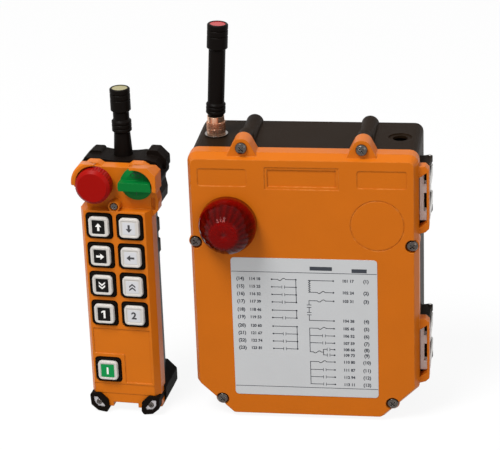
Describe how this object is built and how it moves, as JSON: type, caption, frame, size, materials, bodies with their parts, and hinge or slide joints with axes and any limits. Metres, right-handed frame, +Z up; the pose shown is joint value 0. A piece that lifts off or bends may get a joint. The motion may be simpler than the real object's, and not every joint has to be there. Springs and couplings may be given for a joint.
{
  "type": "crane radio remote control",
  "caption": "Wall receiver with a hinged lid, signal lamp and whip antenna, and a battery handset with square push buttons, a mushroom stop button and a rotary switch.",
  "frame": {"origin": "centre of the receiver's bottom face, which stands on the surface", "axes": "+Z up, +Y towards the receiver's back, +X right as seen from the front"},
  "size_m": [0.2965, 0.141, 0.3345],
  "materials": {
    "black_housing": "fine moulded grain",
    "orange_lid": "moulded, satin sheen",
    "gasket": "matt",
    "screws": "dark plated",
    "inserts": "turned",
    "hinge_plastic": "moulded",
    "pins": "drawn wire",
    "lamp_lens": "clear red, ribbed",
    "reflector": "bright",
    "board": "coated board",
    "label": "satin film",
    "socket": "nickel plated",
    "sleeve": "plated, warm",
    "antenna_rubber": "satin",
    "red_cap": "moulded",
    "relay_plastic": "moulded",
    "terminal_plastic": "moulded",
    "core": "varnished",
    "fuse_plastic": "moulded",
    "can": "sleeved",
    "rubber": "matt",
    "studs": "zinc plated",
    "orange_shell": "moulded, satin sheen",
    "washers": "cast zinc",
    "pale_cap": "moulded",
    "stop_red": "moulded",
    "block_plastic": "moulded",
    "knob_green": "moulded",
    "cap_white": "moulded",
    "switch_plastic": "moulded",
    "cell": "printed sleeve"
  },
  "bodies": {
    "receiver": {"receiver_base": "black_housing", "lid_gasket": "gasket", "lid_inserts": "inserts", "hinge_pins": "pins", "antenna_socket": "socket", "relay_board": "board", "board_spacers": "pins", "relays": "relay_plastic", "terminal_blocks": "terminal_plastic", "transformer": "core", "fuse_holders": "fuse_plastic", "capacitors": "can", "radio_module": "board", "antenna_coax": "antenna_rubber", "rubber_buffers": "rubber", "buffer_studs": "studs"},
    "lid": {"receiver_lid": "orange_lid", "lid_screws": "screws", "hinge_links": "hinge_plastic", "lamp_lens": "lamp_lens", "lamp_seal": "gasket", "lamp_reflector": "reflector", "lamp_board": "board", "wiring_label": "label"},
    "receiver_antenna": {"receiver_antenna_sleeve": "sleeve", "receiver_antenna_whip": "antenna_rubber", "receiver_antenna_cap": "red_cap"},
    "handset": {"handset_front_shell": "orange_shell", "handset_rear_shell": "black_housing", "shell_seal": "gasket", "top_bumper": "rubber", "bottom_bumper": "rubber", "foot_washers": "washers", "shell_screws": "screws", "handset_antenna": "antenna_rubber", "handset_antenna_cap": "pale_cap", "stop_block": "block_plastic", "rotary_block": "block_plastic", "button_boots": "rubber", "handset_board": "board", "key_switches": "switch_plastic", "battery_cells": "cell", "battery_contacts": "pins", "battery_door_pin": "pins"},
    "stop_plunger": {"stop_stem": "stop_red"},
    "stop_head": {"stop_cap": "stop_red"},
    "rotary": {"rotary_knob": "knob_green"},
    "door": {"battery_door": "black_housing", "battery_door_screw": "screws"},
    "key_up": {"button_up": "cap_white"},
    "key_down": {"button_down": "cap_white"},
    "key_east": {"button_east": "cap_white"},
    "key_west": {"button_west": "cap_white"},
    "key_south": {"button_south": "cap_white"},
    "key_north": {"button_north": "cap_white"},
    "key_one": {"button_one": "cap_white"},
    "key_two": {"button_two": "cap_white"},
    "key_start": {"button_start": "cap_white"}
  },
  "joints": [
    {"name": "lid_hinge", "type": "hinge", "parent": "receiver", "child": "lid", "pos_m": [0.1008, 0.014, 0.13], "axis": [0, 0, 1], "range_deg": [0, 110]},
    {"name": "receiver_antenna_turn", "type": "hinge", "parent": "receiver", "child": "receiver_antenna", "pos_m": [-0.077, 0.008, 0.2388], "axis": [0, 0, 1], "range_deg": [0, 90]},
    {"name": "handset_lift", "type": "slide", "parent": "receiver", "child": "handset", "axis": [0, 0, 1], "range_m": [0, 0.25]},
    {"name": "stop_press", "type": "slide", "parent": "handset", "child": "stop_plunger", "axis": [0.0785, 0.9969, 0], "range_m": [0, 0.004], "stiffness_N_per_m": 600, "springref_m": -0.004},
    {"name": "stop_twist", "type": "hinge", "parent": "stop_plunger", "child": "stop_head", "pos_m": [-0.17225, -0.04322, 0.2105], "axis": [0.0785, 0.9969, 0], "range_deg": [0, 45]},
    {"name": "rotary_turn", "type": "hinge", "parent": "handset", "child": "rotary", "pos_m": [-0.13776, -0.04594, 0.2105], "axis": [0.0785, 0.9969, 0], "range_deg": [0, 90]},
    {"name": "battery_door_hinge", "type": "hinge", "parent": "handset", "child": "door", "pos_m": [-0.15344, 0.0046, 0.154], "axis": [0.9969, -0.0785, 0], "range_deg": [0, 110]},
    {"name": "up_press", "type": "slide", "parent": "handset", "child": "key_up", "axis": [0.0785, 0.9969, 0], "range_m": [0, 0.003], "stiffness_N_per_m": 400, "springref_m": -0.003},
    {"name": "down_press", "type": "slide", "parent": "handset", "child": "key_down", "axis": [0.0785, 0.9969, 0], "range_m": [0, 0.003], "stiffness_N_per_m": 400, "springref_m": -0.003},
    {"name": "east_press", "type": "slide", "parent": "handset", "child": "key_east", "axis": [0.0785, 0.9969, 0], "range_m": [0, 0.003], "stiffness_N_per_m": 400, "springref_m": -0.003},
    {"name": "west_press", "type": "slide", "parent": "handset", "child": "key_west", "axis": [0.0785, 0.9969, 0], "range_m": [0, 0.003], "stiffness_N_per_m": 400, "springref_m": -0.003},
    {"name": "south_press", "type": "slide", "parent": "handset", "child": "key_south", "axis": [0.0785, 0.9969, 0], "range_m": [0, 0.003], "stiffness_N_per_m": 400, "springref_m": -0.003},
    {"name": "north_press", "type": "slide", "parent": "handset", "child": "key_north", "axis": [0.0785, 0.9969, 0], "range_m": [0, 0.003], "stiffness_N_per_m": 400, "springref_m": -0.003},
    {"name": "one_press", "type": "slide", "parent": "handset", "child": "key_one", "axis": [0.0785, 0.9969, 0], "range_m": [0, 0.003], "stiffness_N_per_m": 400, "springref_m": -0.003},
    {"name": "two_press", "type": "slide", "parent": "handset", "child": "key_two", "axis": [0.0785, 0.9969, 0], "range_m": [0, 0.003], "stiffness_N_per_m": 400, "springref_m": -0.003},
    {"name": "start_press", "type": "slide", "parent": "handset", "child": "key_start", "axis": [0.0785, 0.9969, 0], "range_m": [0, 0.003], "stiffness_N_per_m": 400, "springref_m": -0.003}
  ]
}
